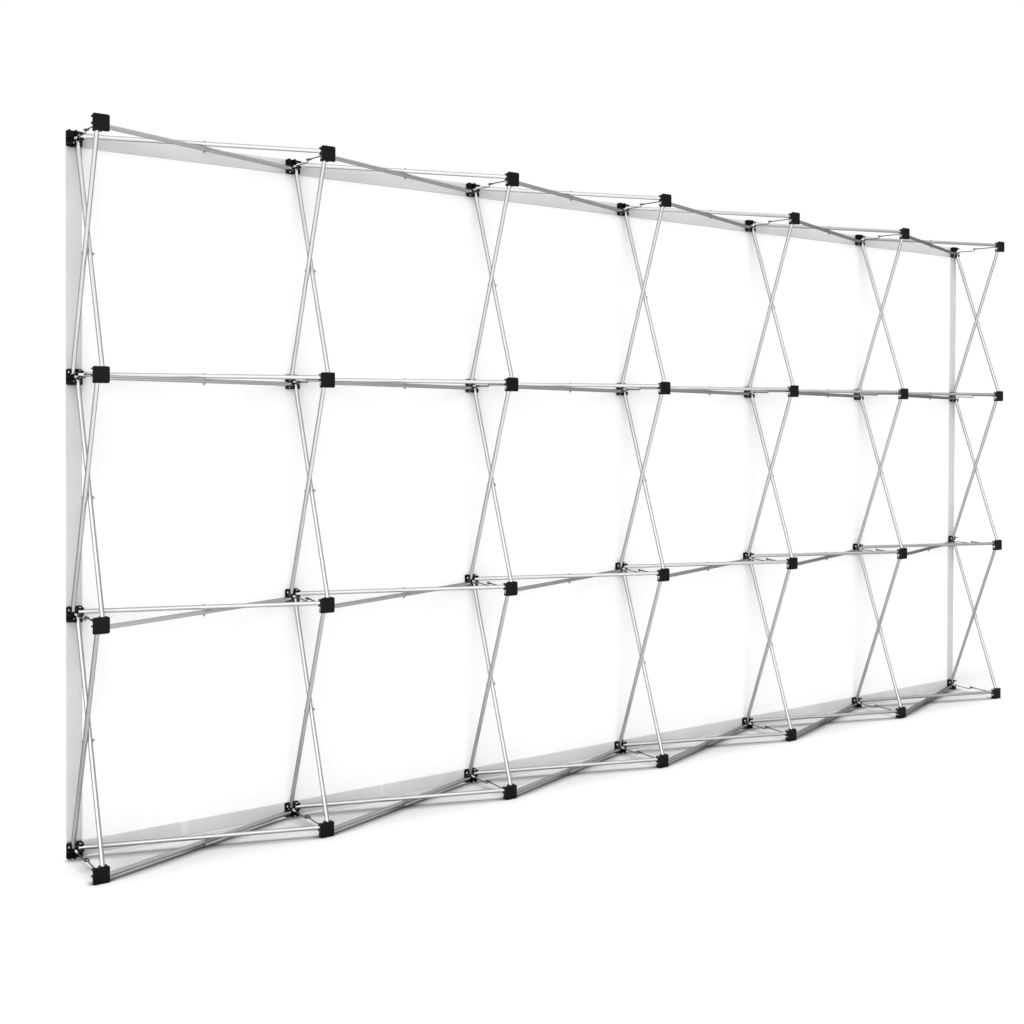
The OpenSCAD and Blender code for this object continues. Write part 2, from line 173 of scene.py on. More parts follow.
class BannerWallStudio(bpy.types.PropertyGroup):
    """Camera and light."""

    lens: FloatProperty(
        name="Lens", description="Focal length for a sensor 36 mm wide",
        default=44.45, min=20.0, max=120.0)
    camera_place: FloatVectorProperty(
        name="Camera place", description="Where the camera stands", subtype="XYZ",
        default=(3.3521, 3.8487, 1.3644))
    camera_turn: FloatProperty(
        name="Camera turn", description="Turn of the camera about the vertical",
        default=math.radians(144.83), subtype="ANGLE")
    camera_tilt: FloatProperty(
        name="Camera tilt", description="How far the camera looks up, or down where it is negative",
        default=math.radians(-0.723), subtype="ANGLE")
    camera_roll: FloatProperty(
        name="Camera roll", description="Turn of the camera about its own line of sight",
        default=math.radians(0.214), subtype="ANGLE")
    camera_shift: FloatProperty(
        name="Camera shift", description="Vertical shift that puts the horizon where the photograph has it",
        default=-0.0735, min=-0.5, max=0.5)
    key_strength: FloatProperty(
        name="Key strength", description="Strength of the wide light on the camera's side",
        default=2.4, min=0.0, max=10.0)
    key_spread: FloatProperty(
        name="Key spread", description="Angle across which the key light comes, which softens its shadows",
        default=math.radians(80.0), subtype="ANGLE")
    key_from: FloatVectorProperty(
        name="Key direction", description="Direction from the wall to the key light", subtype="DIRECTION",
        default=(0.55, 0.7, 0.45))
    top_strength: FloatProperty(
        name="Top strength", description="Strength of the light from overhead",
        default=2.2, min=0.0, max=10.0)
    top_spread: FloatProperty(
        name="Top spread", description="Angle across which the top light comes, which softens its shadows",
        default=math.radians(16.0), subtype="ANGLE")
    top_from: FloatVectorProperty(
        name="Top direction", description="Direction from the wall to the top light", subtype="DIRECTION",
        default=(0.35, 0.12, 0.93))
    face_strength: FloatProperty(
        name="Face strength", description="Strength of the wide light on the banner's face",
        default=1.5, min=0.0, max=10.0)
    face_spread: FloatProperty(
        name="Face spread", description="Angle across which the face light comes",
        default=math.radians(60.0), subtype="ANGLE")
    face_from: FloatVectorProperty(
        name="Face direction", description="Direction from the wall to the face light", subtype="DIRECTION",
        default=(-0.25, -0.95, 0.2))
    sky_level: FloatProperty(
        name="Sky level", description="Strength of the even light from all round",
        default=0.5, min=0.0, max=2.0)
    floor_lift: FloatProperty(
        name="Floor lift", description="What the open floor adds to its shade, so that it reads white",
        default=0.36, min=0.0, max=1.0)
    floor_reach: FloatProperty(
        name="Floor reach", description="Distance from the middle of the floor to its edges",
        default=60.0, min=5.0, max=500.0, unit="LENGTH")


def grid_faces(rows, columns, wrap=False):
    """Quads of a grid of points numbered row by row; with wrap the last column joins the first."""
    index = np.arange(rows * columns).reshape(rows, columns)
    if wrap:
        index = np.hstack([index, index[:, :1]])
    corners = [index[:-1, :-1], index[:-1, 1:], index[1:, 1:], index[1:, :-1]]
    return np.stack(corners, axis=-1).reshape(-1, 4)


def repeated(faces, count, points_each):
    """Faces of one shape repeated for count copies whose points follow each other."""
    shifts = np.arange(count)[:, None, None] * points_each
    return (faces[None] + shifts).reshape(-1, faces.shape[1])


def mesh_object(name, points, *face_groups, smooth=True):
    """A new object at the origin with these points, N by 3; each group holds faces of one corner count."""
    mesh = bpy.data.meshes.new(name)
    faces = [face for group in face_groups for face in group.tolist()]
    mesh.from_pydata(points.reshape(-1, 3).tolist(), [], faces)
    mesh.polygons.foreach_set("use_smooth", [smooth] * len(mesh.polygons))
    mesh.update()
    piece = bpy.data.objects.new(name, mesh)
    bpy.context.scene.collection.objects.link(piece)
    return piece


def float_attribute(piece, name, values):
    """Stores one number for each point, for a material to read."""
    attribute = piece.data.attributes.new(name, "FLOAT", "POINT")
    attribute.data.foreach_set("value", np.asarray(values, np.float32).ravel())


def thicken(piece, thickness):
    """Gives a single surface its thickness, half to each side."""
    wall = piece.modifiers.new("Thickness", "SOLIDIFY")
    wall.thickness = thickness
    wall.offset = 0.0
    wall.use_even_offset = True


def bay_bell(place, first, pitch):
    """A bell that is 0 at each hub and 1 halfway between two: the squared sine of the place in the bay."""
    return np.sin(np.pi * (place - first) / pitch) ** 2


def cloth_relief(x, z, sizes):
    """How far the cloth lies towards the frame from its flat plane.

    Each bay is a shallow dish, the product of the bells across and up. The free edge curls in between
    two hubs and fades over the curl's reach. From each corner creases run out like the rays of a fan:
    a sine of the angle, strongest at a set distance from the corner.
    """
    across = bay_bell(x, HUB_X[0], BAY_X)
    up = bay_bell(z, HUB_Z[0], BAY_Z)
    relief = sizes.bay_dish * across * up
    curl_reach = 0.05
    for edge in (SHEET_LOW.z, SHEET_HIGH.z):
        relief = relief + sizes.edge_curl * across * np.exp(-(((z - edge) / curl_reach) ** 2))
    for edge in (SHEET_LOW.x, SHEET_HIGH.x):
        relief = relief + sizes.edge_curl * up * np.exp(-(((x - edge) / curl_reach) ** 2))
    crease_count, crease_middle, crease_spread = 26, 0.22, 0.12
    for corner_x in (SHEET_LOW.x, SHEET_HIGH.x):
        for corner_z in (SHEET_LOW.z, SHEET_HIGH.z):
            run, rise = np.abs(x - corner_x), np.abs(z - corner_z)
            distance = np.hypot(run, rise)
            fan = np.sin(crease_count * np.arctan2(rise, run + 1e-6))
            window = np.exp(-(((distance - crease_middle) / crease_spread) ** 2))
            relief = relief + sizes.crease_height * fan * window
    return relief


def fill_inputs(tree, node, values):
    """Sets a node's inputs by name, and links those whose value is a socket."""
    for name, value in values.items():
        if isinstance(value, bpy.types.NodeSocket):
            tree.links.new(value, node.inputs[name])
        else:
            node.inputs[name].default_value = value


def add_node(tree, kind, inputs, **settings):
    """A new node with its settings and its inputs."""
    node = tree.nodes.new(kind)
    for name, value in settings.items():
        setattr(node, name, value)
    fill_inputs(tree, node, inputs)
    return node


def math_node(tree, operation, first, second=None, third=None, clamp=False):
    """The output of a Math node on sockets or numbers."""
    values = {i: v for i, v in enumerate((first, second, third)) if v is not None}
    return add_node(tree, "ShaderNodeMath", values, operation=operation, use_clamp=clamp).outputs[0]


def smooth_ramp(tree, value, start, end, top=1.0):
    """0 up to the start, rising smoothly to top at the end."""
    ramp = add_node(
        tree, "ShaderNodeMapRange", {"Value": value, "From Min": start, "From Max": end, "To Max": top},
        interpolation_type="SMOOTHSTEP")
    return ramp.outputs["Result"]


def spread_noise(tree, noise, low, high):
    """The middle of a noise's range spread between a low and a high value."""
    spread = add_node(tree, "ShaderNodeMapRange", {
        "Value": noise, "From Min": 0.3, "From Max": 0.7, "To Min": low, "To Max": high})
    return spread.outputs["Result"]


def effect_group(name, inputs, outputs):
    """An empty shader node group with named sockets, and the nodes that stand for its two ends.

    Inputs are (name, socket kind, default); outputs are (name, socket kind).
    """
    tree = bpy.data.node_groups.new(name, "ShaderNodeTree")
    for label, kind, default in inputs:
        socket = tree.interface.new_socket(label, in_out="INPUT", socket_type=kind)
        if default is not None:
            socket.default_value = default
    for label, kind in outputs:
        tree.interface.new_socket(label, in_out="OUTPUT", socket_type=kind)
    return tree, tree.nodes.new("NodeGroupInput").outputs, tree.nodes.new("NodeGroupOutput").inputs


VALUE, VECTOR = "NodeSocketFloat", "NodeSocketVector"


def mottle_group():
    """Clouds: fractal noise spread between a low and a high value."""
    tree, given, made = effect_group(
        "Mottle",
        [("Position", VECTOR, None), ("Scale", VALUE, 8.0), ("Low", VALUE, 0.9), ("High", VALUE, 1.1)],
        [("Value", VALUE)])
    noise = add_node(tree, "ShaderNodeTexNoise", {
        "Vector": given["Position"], "Scale": given["Scale"], "Detail": 4.0, "Roughness": 0.6})
    tree.links.new(spread_noise(tree, noise.outputs["Fac"], given["Low"], given["High"]), made["Value"])
    return tree


def grain_group():
    """Fine relief: noise on stretched coordinates, as a roughness between two values and as a normal."""
    tree, given, made = effect_group(
        "Grain",
        [("Position", VECTOR, None), ("Stretch", VECTOR, (1.0, 1.0, 1.0)), ("Low", VALUE, 0.25),
         ("High", VALUE, 0.4), ("Strength", VALUE, 0.2), ("Depth", VALUE, 0.0001)],
        [("Roughness", VALUE), ("Normal", VECTOR)])
    stretched = add_node(
        tree, "ShaderNodeVectorMath", {0: given["Position"], 1: given["Stretch"]}, operation="MULTIPLY")
    noise = add_node(tree, "ShaderNodeTexNoise", {
        "Vector": stretched.outputs[0], "Scale": 1.0, "Detail": 3.0, "Roughness": 0.55})
    roughness = spread_noise(tree, noise.outputs["Fac"], given["Low"], given["High"])
    relief = add_node(tree, "ShaderNodeBump", {
        "Strength": given["Strength"], "Distance": given["Depth"], "Height": noise.outputs["Fac"]})
    tree.links.new(roughness, made["Roughness"])
    tree.links.new(relief.outputs["Normal"], made["Normal"])
    return tree


def rim_rub_group():
    """Wear along the rims of the hubs: how close a point is to the square outline of its own hub.

    The hubs stand on a grid, so the place in the bay is the place less the nearest multiple of the bay.
    """
    tree, given, made = effect_group(
        "Rim Rub",
        [("Position", VECTOR, None), ("Half Width", VALUE, HUB_WIDTH / 2), ("Rub Width", VALUE, 0.002),
         ("Amount", VALUE, 0.5)],
        [("Mask", VALUE)])
    axes = add_node(tree, "ShaderNodeSeparateXYZ", {0: given["Position"]}).outputs
    offsets = []
    for axis, pitch, first in (("X", BAY_X, 0.0), ("Z", BAY_Z, HUB_Z[0])):
        moved = math_node(tree, "SUBTRACT", axes[axis], float(first))
        steps = math_node(tree, "ROUND", math_node(tree, "DIVIDE", moved, pitch))
        inside = math_node(tree, "MULTIPLY_ADD", steps, -pitch, moved)
        offsets.append(math_node(tree, "ABSOLUTE", inside))
    outward = math_node(tree, "MAXIMUM", offsets[0], offsets[1])
    rub_start = math_node(tree, "SUBTRACT", given["Half Width"], given["Rub Width"])
    near = smooth_ramp(tree, outward, rub_start, given["Half Width"])
    patches = add_node(tree, "ShaderNodeTexNoise", {
        "Vector": given["Position"], "Scale": 160.0, "Detail": 3.0, "Roughness": 0.6})
    torn = math_node(tree, "MULTIPLY", near, patches.outputs["Fac"])
    mask = math_node(tree, "MULTIPLY", torn, given["Amount"], clamp=True)
    tree.links.new(mask, made["Mask"])
    return tree


def weave_group():
    """Plain weave in the wall's plane: the product of a sine across and a sine up, as a height and as a
    painted shade that darkens the weave's low points.
    """
    tree, given, made = effect_group(
        "Weave",
        [("Position", VECTOR, None), ("Thread Pitch", VALUE, 0.001), ("Shade", VALUE, 0.03)],
        [("Height", VALUE), ("Shade", VALUE)])
    axes = add_node(tree, "ShaderNodeSeparateXYZ", {0: given["Position"]}).outputs
    waves = []
    for axis in ("X", "Z"):
        turns = math_node(tree, "DIVIDE", axes[axis], given["Thread Pitch"])
        waves.append(math_node(tree, "SINE", math_node(tree, "MULTIPLY", turns, math.pi)))
    product = math_node(tree, "MULTIPLY", waves[0], waves[1])
    height = math_node(tree, "MULTIPLY_ADD", product, 0.5, 0.5)
    # Painted shade: darker where the weave lies low
    dark = math_node(tree, "MULTIPLY", math_node(tree, "SUBTRACT", 1.0, height), given["Shade"])
    shade = math_node(tree, "SUBTRACT", 1.0, dark)
    tree.links.new(height, made["Height"])
    tree.links.new(shade, made["Shade"])
    return tree


def nap_group():
    """Brushed loops: two sizes of noise mixed into a height, and a painted shade that darkens the low loops.
    """
    tree, given, made = effect_group(
        "Nap",
        [("Position", VECTOR, None), ("Loop Scale", VALUE, 900.0), ("Shade", VALUE, 0.1)],
        [("Height", VALUE), ("Shade", VALUE)])
    loops = add_node(tree, "ShaderNodeTexNoise", {
        "Vector": given["Position"], "Scale": given["Loop Scale"], "Detail": 3.0, "Roughness": 0.7})
    tufts = add_node(tree, "ShaderNodeTexVoronoi", {
        "Vector": given["Position"], "Scale": given["Loop Scale"]})
    height = math_node(tree, "ADD", loops.outputs["Fac"], tufts.outputs["Distance"])
    # Painted shade: darker where the loops lie low
    dark = math_node(tree, "MULTIPLY", math_node(tree, "SUBTRACT", 1.0, loops.outputs["Fac"]), given["Shade"])
    shade = math_node(tree, "SUBTRACT", 1.0, dark)
    tree.links.new(height, made["Height"])
    tree.links.new(shade, made["Shade"])
    return tree


GROUP_MAKERS = {
    "Mottle": mottle_group,
    "Grain": grain_group,
    "Rim Rub": rim_rub_group,
    "Weave": weave_group,
    "Nap": nap_group,
}


def effect(tree, name, inputs):
    """Places an effect in a material with its own values, and builds its group the first time."""
    group = bpy.data.node_groups.get(name) or GROUP_MAKERS[name]()
    return add_node(tree, "ShaderNodeGroup", inputs, node_tree=group).outputs


def cloudy(tree, position, scale, low, high):
    """The value of clouds of this scale, between low and high."""
    return effect(tree, "Mottle", {"Position": position, "Scale": scale, "Low": low, "High": high})["Value"]


def finish_material(name, constants):
    """A new material, its node tree, its Principled shader with constants, and the Object coordinates."""
    material = bpy.data.materials.new(name)
    material.use_nodes = True
    tree = material.node_tree
    shader = tree.nodes["Principled BSDF"]
    fill_inputs(tree, shader, constants)
    position = tree.nodes.new("ShaderNodeTexCoord").outputs["Object"]
    return material, tree, shader, position


def tinted(tree, colour, factor):
    """A colour scaled by a value socket."""
    scaled = add_node(
        tree, "ShaderNodeVectorMath", {0: tuple(colour), "Scale": factor}, operation="SCALE")
    return scaled.outputs[0]


def paint(names, material):
    """Puts a material on CAD nodes, which keep their meshes."""
    for name in names:
        slots = FRAME["nodes"][name].material_slots
        if not slots:
            raise RuntimeError(f"{name} has no material slot")
        for slot in slots:
            slot.material = material


def nodes_with(word):
    """Names of the CAD nodes that hold this word; there must be some."""
    names = sorted(name for name in FRAME["nodes"] if word in name)
    if not names:
        raise RuntimeError(f"The frame has no node named after {word}")
    return names


def ride_and_slot(piece):
    """Every new piece belongs to the rigid frame."""
    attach(piece, BODY)


def hub_material(colours):
    """Black moulded nylon: spark texture, faint clouds and rims rubbed a little paler."""
    material, tree, shader, position = finish_material("Hub nylon", {"Specular IOR Level": 0.12})
    clouds = cloudy(tree, position, 60.0, 0.85, 1.15)
    rub = effect(tree, "Rim Rub", {"Position": position, "Amount": 0.35})
    grain = effect(tree, "Grain", {
        "Position": position, "Stretch": (1400.0,) * 3, "Low": 0.42, "High": 0.55,
        "Strength": 0.25, "Depth": 0.0001})
    worn = add_node(
        tree, "ShaderNodeMix",
        {"Factor": rub["Mask"], "A": tinted(tree, colours.hub, clouds), "B": (*colours.rubbed, 1.0)},
        data_type="RGBA")
    fill_inputs(tree, shader, {
        "Base Color": worn.outputs["Result"], "Roughness": grain["Roughness"], "Normal": grain["Normal"]})
    return material


def grained_material(name, colour, constants, clouds, grain, turn=None):
    """A cloudy colour with a fine grain.

    Clouds are (scale, low, high). Grain is (stretch, low, high, strength, depth): how fine it is along
    each axis, the span of its roughness, and its relief. A turn first lays the piece along an axis.
    """
    material, tree, shader, position = finish_material(name, constants)
    cloud = cloudy(tree, position, *clouds)
    if turn:
        position = add_node(tree, "ShaderNodeMapping", {"Vector": position, "Rotation": turn}).outputs[0]
    names = ("Stretch", "Low", "High", "Strength", "Depth")
    relief = effect(tree, "Grain", {"Position": position, **dict(zip(names, grain))})
    fill_inputs(tree, shader, {
        "Base Color": tinted(tree, colour, cloud),
        "Roughness": relief["Roughness"], "Normal": relief["Normal"]})
    return material


def drawn_material(name, colour, turn, stretch, low, high):
    """Metal with streaks along the piece."""
    constants = {"Metallic": 1.0, "Specular Tint": (0.15, 0.15, 0.15, 1.0)}
    clouds, grain = (9.0, 0.96, 1.02), (stretch, low, high, 0.12, 0.0001)
    return grained_material(name, colour, constants, clouds, grain, turn)


def plated_material(name, colour, low, high, metallic=1.0):
    """Plated or machined small metal, or plain nylon where it isn't metallic."""
    clouds, grain = (120.0, 0.9, 1.06), ((2200.0,) * 3, low, high, 0.15, 0.00005)
    return grained_material(name, colour, {"Metallic": metallic}, clouds, grain)


def thread_material(name, colour):
    """Twisted sewing thread, matt."""
    clouds, grain = (400.0, 0.9, 1.05), ((4000.0,) * 3, 0.6, 0.8, 0.3, 0.00005)
    return grained_material(name, colour, {"Specular IOR Level": 0.3}, clouds, grain)


def tint_and_raise(tree, shader, colour, shade, height, strength, depth):
    """Gives the shader a colour scaled by its shade, and a relief from a height."""
    relief = add_node(tree, "ShaderNodeBump", {"Strength": strength, "Distance": depth, "Height": height})
    fill_inputs(tree, shader, {
        "Base Color": tinted(tree, colour, shade), "Normal": relief.outputs["Normal"]})


def cloth_material(colours):
    """White tension cloth: a plain weave with painted shade in its low points, slight clouds and a soft
    sheen.
    """
    material, tree, shader, position = finish_material("Banner cloth", {
        "Roughness": 0.85, "Specular IOR Level": 0.2, "Sheen Weight": 0.15, "Sheen Roughness": 0.5})
    clouds = cloudy(tree, position, 3.0, 0.99, 1.005)
    weave = effect(tree, "Weave", {"Position": position, "Thread Pitch": 0.0011, "Shade": 0.02})
    shade = math_node(tree, "MULTIPLY", clouds, weave["Shade"])
    tint_and_raise(tree, shader, colours.cloth, shade, weave["Height"], 0.25, 0.0001)
    return material


def band_material(colours):
    """Grey loop tape: a brushed nap with painted shade in its low loops, soft clouds, and a painted highlight
    along the creases of packing.
    """
    material, tree, shader, position = finish_material("Loop tape", {
        "Roughness": 0.95, "Specular IOR Level": 0.15, "Sheen Weight": 0.2, "Sheen Roughness": 0.6})
    clouds = cloudy(tree, position, 6.0, 0.95, 1.05)
    nap = effect(tree, "Nap", {"Position": position, "Loop Scale": 900.0, "Shade": 0.12})
    fold = add_node(tree, "ShaderNodeAttribute", {}, attribute_name="fold").outputs["Fac"]
    # Painted highlight: the tape's colour is lightened along each crease
    painted_crease_highlight = 0.11
    lift = math_node(tree, "MULTIPLY_ADD", fold, painted_crease_highlight, 1.0)
    shade = math_node(tree, "MULTIPLY", math_node(tree, "MULTIPLY", clouds, nap["Shade"]), lift)
    tint_and_raise(tree, shader, colours.band, shade, nap["Height"], 0.35, 0.0003)
    return material


def pad_material(colours):
    """Black hook tape: rows of small hooks as a fine nap, with painted shade in its low points."""
    material, tree, shader, position = finish_material(
        "Hook tape", {"Roughness": 0.6, "Specular IOR Level": 0.3})
    nap = effect(tree, "Nap", {"Position": position, "Loop Scale": 600.0, "Shade": 0.4})
    tint_and_raise(tree, shader, colours.pad, nap["Shade"], nap["Height"], 0.6, 0.0004)
    return material


class BANNERWALL_OT_hubs(bpy.types.Operator):
    """Finish the hubs in black moulded nylon."""

    bl_idname = "bannerwall.hubs"
    bl_label = "Hubs"

    def execute(self, context):
        paint(nodes_with("hubs"), hub_material(context.scene.banner_wall_colours))
        return {"FINISHED"}


class BANNERWALL_OT_tubes(bpy.types.Operator):
    """Finish the tubes in drawn aluminium, with the streaks along each of their four directions."""

    bl_idname = "bannerwall.tubes"
    bl_label = "Tubes"

    def execute(self, context):
        colour = context.scene.banner_wall_colours.tube
        along, round_it = 6.0, 900.0
        smooth, rough = 0.24, 0.34
        for kind, turn, stretch in (
            ("lower", (0.0, 0.0, -TUBE_LEAN), (along, round_it, round_it)),
            ("upper", (0.0, 0.0, TUBE_LEAN), (along, round_it, round_it)),
            ("left", (TUBE_LEAN, 0.0, 0.0), (round_it, round_it, along)),
            ("right", (-TUBE_LEAN, 0.0, 0.0), (round_it, round_it, along)),
        ):
            material = drawn_material(f"Drawn tube {kind}", colour, turn, stretch, smooth, rough)
            paint(nodes_with(f"_{kind}_tubes"), material)
        return {"FINISHED"}


class BANNERWALL_OT_tips(bpy.types.Operator):
    """Finish the tube tips in machined aluminium."""

    bl_idname = "bannerwall.tips"
    bl_label = "Tube tips"

    def execute(self, context):
        material = plated_material("Machined tip", context.scene.banner_wall_colours.tip, 0.22, 0.34)
        paint(nodes_with("tube_tips"), material)
        return {"FINISHED"}


class BANNERWALL_OT_fixings(bpy.types.Operator):
    """Finish the pins, bolts and nuts in zinc plate and the washers in natural nylon."""

    bl_idname = "bannerwall.fixings"
    bl_label = "Pins, bolts, nuts and washers"

    def execute(self, context):
        colours = context.scene.banner_wall_colours
        paint(nodes_with("pins"), plated_material("Bright zinc", colours.pin, 0.35, 0.5, metallic=0.6))
        steel = plated_material("Zinc plate", colours.steel, 0.25, 0.4)
        paint(nodes_with("bolts") + nodes_with("nuts"), steel)
        nylon = plated_material("Natural nylon", colours.washer, 0.45, 0.6, metallic=0.0)
        paint(nodes_with("washers"), nylon)
        return {"FINISHED"}


class BANNERWALL_OT_lock_arms(bpy.types.Operator):
    """Finish the lock arms: dark plated wire, darker on the eye arms, and bright sleeves."""

    bl_idname = "bannerwall.lock_arms"
    bl_label = "Lock arms"

    def execute(self, context):
        colours = context.scene.banner_wall_colours
        for nodes, name, colour in (
            ("hook_arm_wires", "Dark plated hook wire", colours.wire),
            ("eye_arm_wires", "Darker eye wire", colours.eye_wire),
        ):
            paint(nodes_with(nodes), plated_material(name, colour, 0.3, 0.42))
        sleeve = plated_material("Bright sleeve", colours.sleeve, 0.3, 0.45, metallic=0.4)
        paint(nodes_with("arm_sleeves"), sleeve)
        return {"FINISHED"}


# Creases that packing has left across the bands: place along X or Z, width and strength of each; the strength
# also sets the painted highlight along the crease
CREASES = {
    "top": ((1.85, 0.024, 0.15), (1.112, 0.011, 0.1), (-0.36, 0.011, 0.1)),
    "bottom": (
        (1.85, 0.024, 1.0), (1.501, 0.007, 1.0), (1.112, 0.011, 0.9), (0.766, 0.007, 0.5),
        (0.38, 0.011, 0.3), (-0.36, 0.011, 0.2), (-1.1, 0.011, 0.2), (-1.84, 0.011, 0.2),
    ),
    "left": ((0.38, 0.011, 0.1), (1.12, 0.011, 0.1), (1.85, 0.011, 0.1)),
    "right": ((0.38, 0.011, 0.1), (1.12, 0.011, 0.1), (1.85, 0.011, 0.1)),
}


def crease_field(run, creases):
    """Flat-topped bells, exp(-x^4), one for each crease, at its place and as wide as it."""
    places, widths, strengths = np.array(creases).T
    offset = (run[..., None] - places) / (widths / 2)
    return (strengths * np.exp(-(offset**4))).sum(axis=-1)


def band_strip(name, start, end, across, creases, sizes):
    """One band: a closed outline carried along its middle line from start to end, in x and z.

    The outline's back lies on the cloth. Its front stands off by the tape's thickness, falls to nothing
    at the two edges by 1 - exp(-(distance / rounding)^2), dips in a narrow bell where a seam pulls it
    down, and rises in the creases of packing.
    """
    start, end, across = np.array(start), np.array(end), np.array(across)
    length = np.linalg.norm(end - start)
    along_steps, across_steps = int(length / 0.003), 20
    edge_rounding, seam_width, seam_depth = 0.0008, 0.0015, 0.3
    t = np.linspace(0.0, 1.0, along_steps + 1)[:, None]
    front = 0.5 * np.sin(np.linspace(-math.pi / 2, math.pi / 2, across_steps + 1))
    s = np.concatenate([front, front[-2:0:-1]])[None, :]
    is_front = (np.arange(s.size) <= across_steps)[None, :]
    x = start[0] + t * (end[0] - start[0]) + s * across[0] * BAND_WIDTH
    z = start[1] + t * (end[1] - start[1]) + s * across[1] * BAND_WIDTH
    fold = crease_field(x if across[1] else z, creases)
    from_edge = (0.5 - np.abs(s)) * BAND_WIDTH
    body = 1 - np.exp(-((from_edge / edge_rounding) ** 2))
    seam = np.exp(-(((from_edge - sizes.seam_inset) / seam_width) ** 2))
    thickness = (BAND_HIGH.y - BAND_LOW.y) * body * (1 - seam_depth * seam)
    y = BAND_LOW.y + cloth_relief(x, z, sizes)
    y = y + is_front * (thickness + sizes.fold_height * fold * body * (1 - seam))
    ends = np.arange(s.size)[None]
    last = along_steps * s.size
    strip = mesh_object(
        name, np.stack([x, y, z], axis=-1),
        grid_faces(along_steps + 1, s.size, wrap=True), ends[:, ::-1], ends + last)
    # The crease field is also kept for the painted highlight along the creases
    float_attribute(strip, "fold", fold)
    return strip


class BANNERWALL_OT_bands(bpy.types.Operator):
    """Make the four bands of loop tape round the back of the banner."""

    bl_idname = "bannerwall.bands"
    bl_label = "Loop bands"

    def execute(self, context):
        sizes = context.scene.banner_wall_sizes
        material = band_material(context.scene.banner_wall_colours)
        half = BAND_WIDTH / 2
        left, right = SHEET_HIGH.x, SHEET_LOW.x
        low, high = SHEET_LOW.z, SHEET_HIGH.z
        joint_gap = 0.0004
        side_low, side_high = low + BAND_WIDTH + joint_gap, high - BAND_WIDTH - joint_gap
        for name, start, end, across in (
            ("top", (right, high - half), (left, high - half), (0, 1)),
            ("bottom", (right, low + half), (left, low + half), (0, 1)),
            ("left", (left - half, side_low), (left - half, side_high), (-1, 0)),
            ("right", (right + half, side_low), (right + half, side_high), (-1, 0)),
        ):
            strip = band_strip(f"loop_band_{name}", start, end, across, CREASES[name], sizes)
            strip.data.materials.append(material)
            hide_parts(f"band_{name}")
            ride_and_slot(strip)
        return {"FINISHED"}


def stitch(half_length, half_width):
    """One stitch along X as points, quads and triangles: two rings of five points, and a pole at each end."""
    sides, shoulder = 5, 0.6 * half_length
    angle = np.arange(sides) / sides * 2 * math.pi
    ring = np.stack([0 * angle, np.cos(angle), np.sin(angle)], axis=-1) * half_width
    near, far = ring - [shoulder, 0, 0], ring + [shoulder, 0, 0]
    points = np.vstack([[[-half_length, 0, 0]], near, far, [[half_length, 0, 0]]])
    now = np.arange(sides)
    after = np.roll(now, -1)
    near_cap = np.stack([0 * now, 1 + after, 1 + now], axis=-1)
    far_cap = np.stack([0 * now + 1 + 2 * sides, 1 + sides + now, 1 + sides + after], axis=-1)
    return points, grid_faces(2, sides, wrap=True) + 1, np.vstack([near_cap, far_cap])


def seam_thread(name, y, sizes):
    """Stitches along two rectangles, one inside each edge of the band, repeated at an even pitch."""
    shape, quads, triangles = stitch(sizes.stitch_length / 2, sizes.thread_width / 2)
    upright = shape[:, [2, 1, 0]] * [1, -1, 1]
    blocks = []
    for inset in (sizes.seam_inset, BAND_WIDTH - sizes.seam_inset):
        x_low, x_high = SHEET_LOW.x + inset, SHEET_HIGH.x - inset
        z_low, z_high = SHEET_LOW.z + inset, SHEET_HIGH.z - inset
        x_run = np.arange(x_low + sizes.stitch_pitch, x_high - sizes.stitch_length, sizes.stitch_pitch)
        z_run = np.arange(z_low + sizes.stitch_pitch, z_high - sizes.stitch_length, sizes.stitch_pitch)
        for z in (z_low, z_high):
            centres = np.stack([x_run, y + cloth_relief(x_run, z, sizes), z + 0 * x_run], axis=-1)
            blocks.append(centres[:, None, :] + shape[None])
        for x in (x_low, x_high):
            centres = np.stack([x + 0 * z_run, y + cloth_relief(x, z_run, sizes), z_run], axis=-1)
            blocks.append(centres[:, None, :] + upright[None])
    points = np.vstack([b.reshape(-1, 3) for b in blocks])
    count = len(points) // len(shape)
    return mesh_object(
        name, points, repeated(quads, count, len(shape)), repeated(triangles, count, len(shape)))


class BANNERWALL_OT_threads(bpy.types.Operator):
    """Sew the bands on: a row of stitches inside each edge, on the band and on the banner's face."""

    bl_idname = "bannerwall.threads"
    bl_label = "Seam threads"

    def execute(self, context):
        sizes = context.scene.banner_wall_sizes
        colours = context.scene.banner_wall_colours
        sunk = 0.4 * sizes.thread_width
        for name, y, colour, slot in (
            ("seam_thread_back", BAND_HIGH.y - sunk, colours.band, "loop_band"),
            ("seam_thread_face", SHEET_LOW.y, colours.cloth, "banner_fabric"),
        ):
            thread = seam_thread(name, y, sizes)
            thread.data.materials.append(thread_material(f"Thread {slot}", colour))
            ride_and_slot(thread)
        return {"FINISHED"}


def pad_outline(inset, corner, count):
    """Closed outline of a rounded square, moved in by inset, with count points to a corner.

    A corner's radius shrinks with the inset, and its centre stays.
    """
    quarter = np.linspace(0, math.pi / 2, count)
    turns = np.arange(4)[:, None]
    angle = quarter[None, :] + turns * math.pi / 2
    radius = corner - inset
    centre = HALF_PAD - corner
    x = centre * np.array([1, -1, -1, 1])[:, None] + radius * np.cos(angle)
    z = centre * np.array([1, 1, -1, -1])[:, None] + radius * np.sin(angle)
    return x.ravel(), z.ravel()


